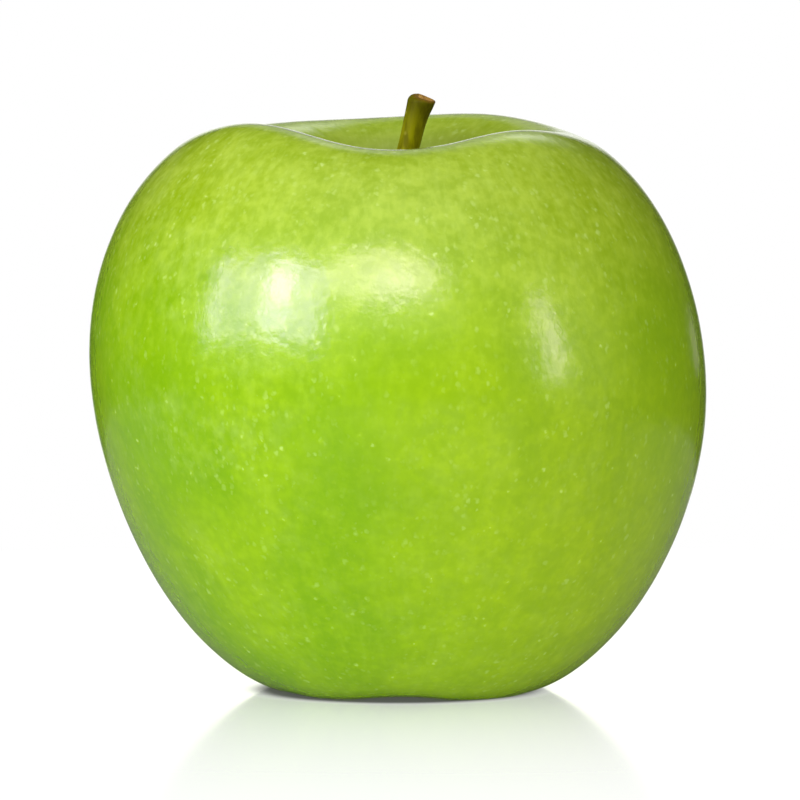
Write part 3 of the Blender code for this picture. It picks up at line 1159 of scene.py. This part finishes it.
@dataclass
class Studio:
    """The photographer's table: a pale sheet, white surroundings, soft lights and the camera."""

    camera_distance: float = 1.8
    camera_elevation: float = 4.6
    picture_width: float = 0.10380
    sensor: float = 36.0
    aim: Point = (0.00031, 0.0, 0.03822)
    table_reach: float = 0.21
    table_gap: float = 0.00003
    table_white: float = 0.84
    table_glow: float = 0.98
    table_gloss: float = 0.52
    table_bounce: float = 0.38
    gloss_fade: float = 0.065
    gloss_tint: tuple[float, ...] = (1.15, 1.25, 0.92, 1.0)
    foot_back: float = 0.0055
    foot_radius: float = 0.0165
    backdrop: float = 1.3
    room: float = 0.02
    wraps: tuple[Glow, ...] = (
        (118.0, -4.0, 2.0, 0.90),
        (0.0, 2.0, 3.0, 0.26),
        (-112.0, -5.0, 2.0, 0.48),
    )
    fills: tuple[Glow, ...] = (
        (66.0, 12.0, 9.0, 0.40),
        (-8.0, 62.0, 4.0, 0.85),
        (168.0, 35.0, 120.0, 2.2),
    )
    lights: tuple[Softbox, ...] = (
        Softbox("key_matt", Cast.MATT, -50.0, 21.0, 0.90, 0.60, 9.3),
        Softbox("front_matt", Cast.MATT, -2.0, 26.0, 0.80, 0.40, 6.5),
        Softbox("side_matt", Cast.MATT, 60.0, 12.0, 0.26, 0.40, 0.8),
        Softbox("key_gloss", Cast.COOL_GLOSS, -44.5, 23.3, 0.60, 0.50, 4.3),
        Softbox("key_side", Cast.COOL_GLOSS, -66.0, 20.0, 0.22, 0.44, 1.20),
        Softbox("key_left", Cast.COOL_GLOSS, -73.5, 19.0, 0.07, 0.42, 0.85),
        Softbox("key_core", Cast.COOL_GLOSS, -46.5, 24.8, 0.21, 0.47, 2.4),
        Softbox("key_spot", Cast.COOL_GLOSS, -47.0, 27.5, 0.13, 0.17, 0.40, rounded=True),
        Softbox("key_right", Cast.COOL_GLOSS, -33.0, 24.5, 0.08, 0.46, 0.65),
        Softbox("front_gloss", Cast.WARM_GLOSS, -3.0, 37.0, 0.74, 0.40, 3.8, rounded=True),
        Softbox("front_band", Cast.WARM_GLOSS, -1.0, 34.5, 0.40, 0.19, 0.50, rounded=True),
        Softbox("front_spot", Cast.WARM_GLOSS, 1.0, 33.5, 0.20, 0.12, 0.22, rounded=True),
        Softbox("side_strip", Cast.WARM_GLOSS, 60.0, 13.5, 0.14, 0.42, 0.80),
        Softbox("side_core", Cast.WARM_GLOSS, 62.5, 13.0, 0.07, 0.20, 0.16, rounded=True),
        Softbox("rim_right", Cast.WARM_GLOSS, 150.0, 0.0, 0.12, 0.08, 0.015),
    )

    def build(self) -> None:
        """Sets up the table, the surroundings, the lights and the camera."""
        self._table()
        self._surroundings()
        target = Vector((0.0, 0.0, self.aim[2]))
        for light in self.lights:
            light.build(target)
        self._camera()
        scene = bpy.context.scene
        scene.view_settings.view_transform = "Standard"
        scene.view_settings.look = "None"

    def _table(self) -> None:
        """The pale, slightly glossy sheet that the apple stands on, which is open from below. Its glow to the
        camera carries a painted contact shadow round the apple's foot.
        """
        body = bmesh.new()
        bmesh.ops.create_circle(body, cap_ends=True, segments=96, radius=self.table_reach)
        mesh = mesh_of("table_sheet", body)
        table = placed("table_sheet", mesh)
        table.location = (0.0, 0.0, -self.table_gap)
        material, sheet, shader = new_finish("pale_sheet")
        x, y, _ = sheet.split(sheet.here())
        behind = y - self.foot_back
        away = sheet.math("SQRT", x * x + behind * behind) - self.foot_radius
        mirrored = sheet.term("ShaderNodeLightPath", place="Is Glossy Ray")
        seen = sheet.term("ShaderNodeLightPath", place="Is Camera Ray")
        white = self.table_white * (1.0 - mirrored * (0.85 - 0.12 * y.eased(-0.03, 0.02))) * (1.0 - 0.93 * seen)
        # Painted contact shadow: to the camera the glow falls to 0.08 of its strength inside the foot's ring and
        # within 4.5 mm of it, drawing the dark line under the apple.
        lit = self.table_glow * seen * (0.08 + 0.92 * away.eased(0.000, 0.0045))
        lit = lit + self.table_bounce * (1.0 - seen) * (1.0 - mirrored) * (1.3 - 0.3 * away.eased(-0.006, 0.0))
        looks = {
            "Base Color": sheet.join(white, white, white),
            "Roughness": 1.0,
            "Specular IOR Level": 0.0,
            "Emission Color": WHITE,
            "Emission Strength": lit,
        }
        sheet.fill(shader, looks)
        gloss = sheet.term("ShaderNodeBsdfGlossy", {"Roughness": 0.10, "Color": self.gloss_tint})
        share = self.table_gloss * sheet.math("EXPONENT", -1.0 * away.at_least(0.0) / self.gloss_fade)
        # Close to the foot the gloss also fades to a tenth, so that the painted contact shadow shows through.
        share = share * (0.10 + 0.90 * away.eased(0.0005, 0.0050))
        above = sheet.term("ShaderNodeMixShader", {0: share * seen, 1: sheet.out(shader), 2: gloss})
        below = sheet.term("ShaderNodeNewGeometry", place="Backfacing")
        clear = sheet.term("ShaderNodeBsdfTransparent")
        surface = sheet.term("ShaderNodeMixShader", {0: below, 1: above, 2: clear})
        sheet.fill(sheet.tree.nodes["Material Output"], {"Surface": surface})
        mesh.materials.append(material)

    def _surroundings(self) -> None:
        """White to the camera. To the skin: bright behind and overhead, and darker at the sides."""
        world = bpy.data.worlds.new("surroundings")
        world.use_nodes = True
        bpy.context.scene.world = world
        sheet = Sheet(world.node_tree)
        way = sheet.term("ShaderNodeTexCoord", place="Generated")
        x, y, z = sheet.split(way)
        aside = sheet.math("ABSOLUTE", x) / y.at_least(0.001)
        low = 1.0 - z.eased(0.10, 0.20)
        behind = (1.0 - aside.eased(0.09, 0.17)) * (low + 0.28 * (1.0 - low) * (1.0 - z.eased(0.45, 0.65)))
        before = (0.0 - y).eased(0.2, 0.7)
        glow = 0.02 + behind * self.backdrop + before * self.room
        for fill in self.fills:
            glow = glow + self._glow(way, fill)
        matt = 1.0 - sheet.term("ShaderNodeLightPath", place="Is Glossy Ray")
        for wrap in self.wraps:
            glow = glow + matt * self._glow(way, wrap)
        strength = glow + sheet.term("ShaderNodeLightPath", place="Is Camera Ray") * (1.0 - glow)
        sheet.fill(sheet.tree.nodes["Background"], {"Color": WHITE, "Strength": strength})

    @staticmethod
    def _glow(way: Term, glow: Glow) -> Term:
        """A soft round glow in the surroundings.

        Args:
            way: the way looked in.
            glow: its azimuth and elevation in degrees, its tightness and its strength.

        Returns:
            The glow's brightness that way.
        """
        x, y, z = way.sheet.split(way)
        azimuth, elevation, tightness, strength = glow
        turn, rise = math.radians(azimuth), math.radians(elevation)
        level = math.cos(rise)
        facing = x * (math.sin(turn) * level) - y * (math.cos(turn) * level) + z * math.sin(rise)
        return strength * way.sheet.math("POWER", facing.at_least(0.0), tightness)

    def _camera(self) -> None:
        """The camera, at the photograph's distance and angle, level from side to side."""
        data = bpy.data.cameras.new("camera")
        data.sensor_width = self.sensor
        data.lens = self.sensor * self.camera_distance / self.picture_width
        data.clip_start = 0.1
        data.clip_end = 20.0
        camera = placed("camera", data)
        aimed(camera, Vector(self.aim), 0.0, self.camera_elevation, self.camera_distance)
        bpy.context.scene.camera = camera


def main() -> None:
    """Builds the apple's pieces in order, and the studio round it."""
    logging.basicConfig(level=logging.INFO, format="%(name)s: %(message)s")
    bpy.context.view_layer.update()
    effects = Effects()
    Fruit().build(SkinFinish().material(effects))
    Stem().build(BarkFinish().material(effects))
    Calyx().build(HuskFinish().material(effects))
    Studio().build()


if __name__ == "__main__":
    main()
